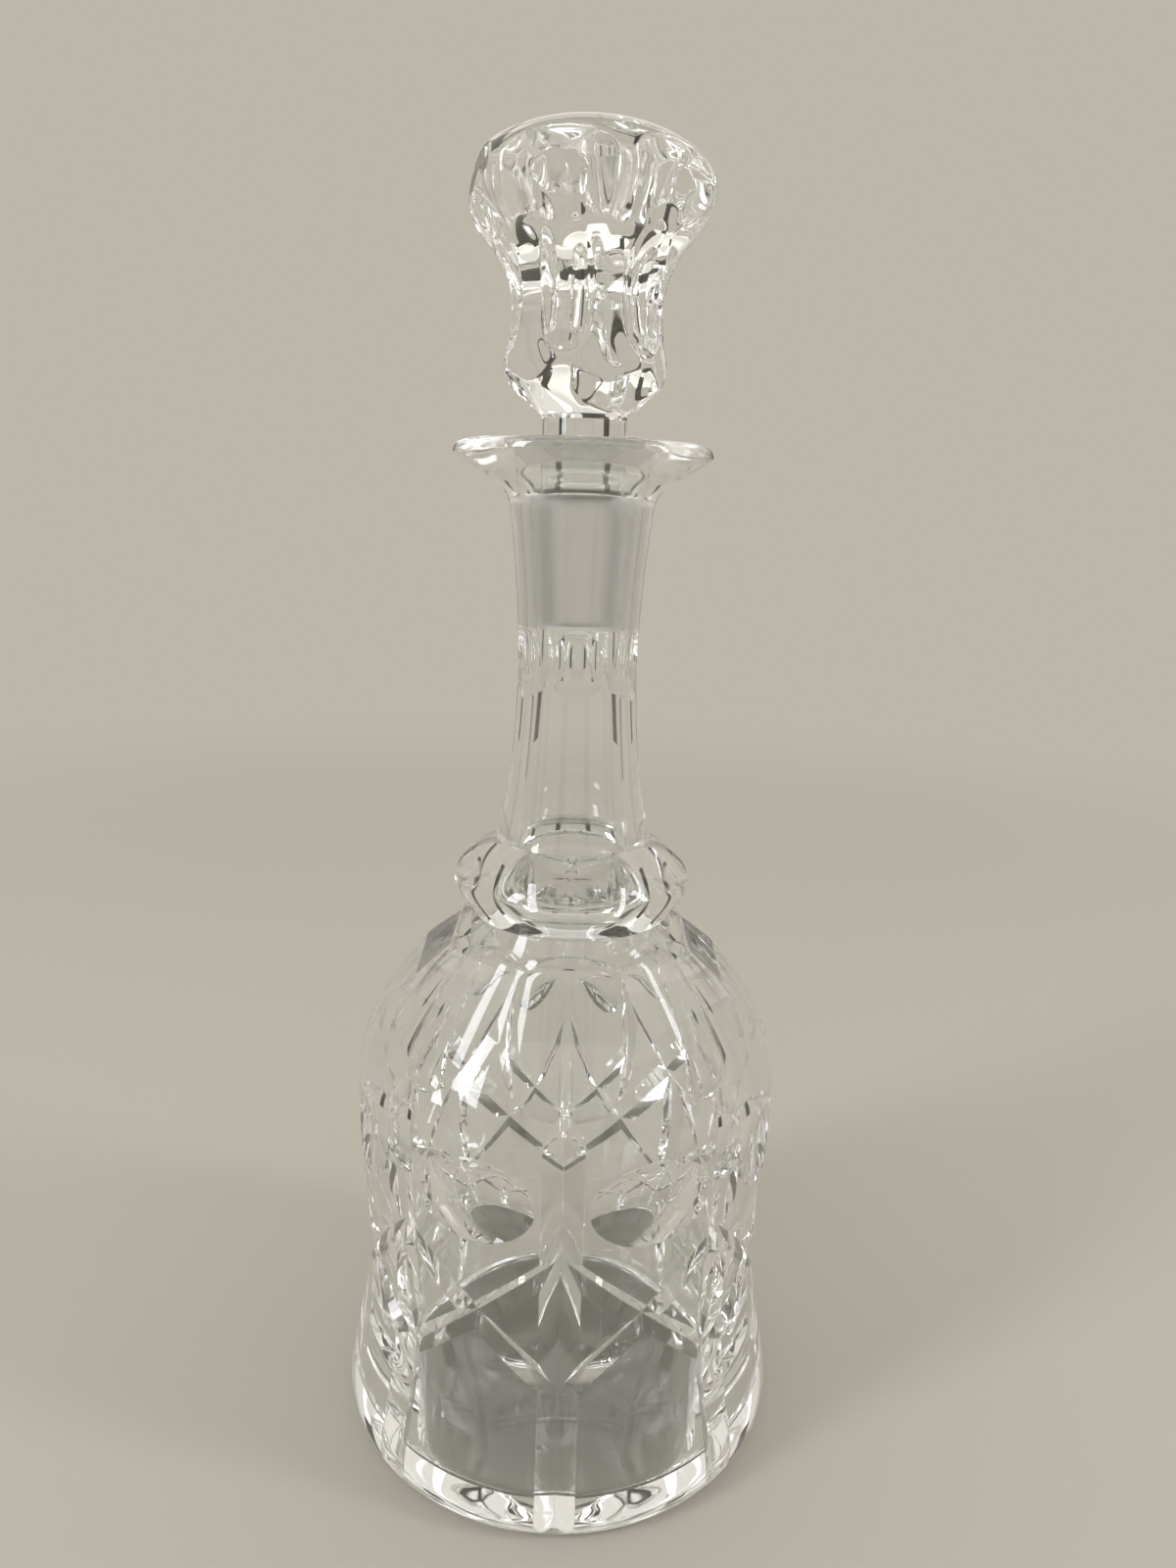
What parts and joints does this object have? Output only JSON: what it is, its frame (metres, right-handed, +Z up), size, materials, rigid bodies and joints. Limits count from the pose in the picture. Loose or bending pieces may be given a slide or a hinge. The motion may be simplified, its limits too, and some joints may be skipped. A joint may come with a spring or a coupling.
{
  "type": "decanter",
  "caption": "Bell-shaped cut crystal decanter with a ring collar, slim neck and flared lip, and a fluted mushroom stopper that lifts out of a ground seat.",
  "frame": {"origin": "centre of the base, on the surface that the decanter stands on", "axes": "+Z up along the neck; -Y is the side that the picture sees, with one upright mitre column facing it"},
  "size_m": [0.104, 0.104, 0.2902],
  "materials": {
    "crystal": "polished",
    "stopper_crystal": "polished, with a ground plug"
  },
  "bodies": {
    "decanter": {"decanter_body": "crystal"},
    "stopper": {"stopper": "stopper_crystal"}
  },
  "joints": [
    {"name": "stopper_lift", "type": "slide", "parent": "decanter", "child": "stopper", "axis": [0, 0, 1], "range_m": [0, 0.05]}
  ]
}
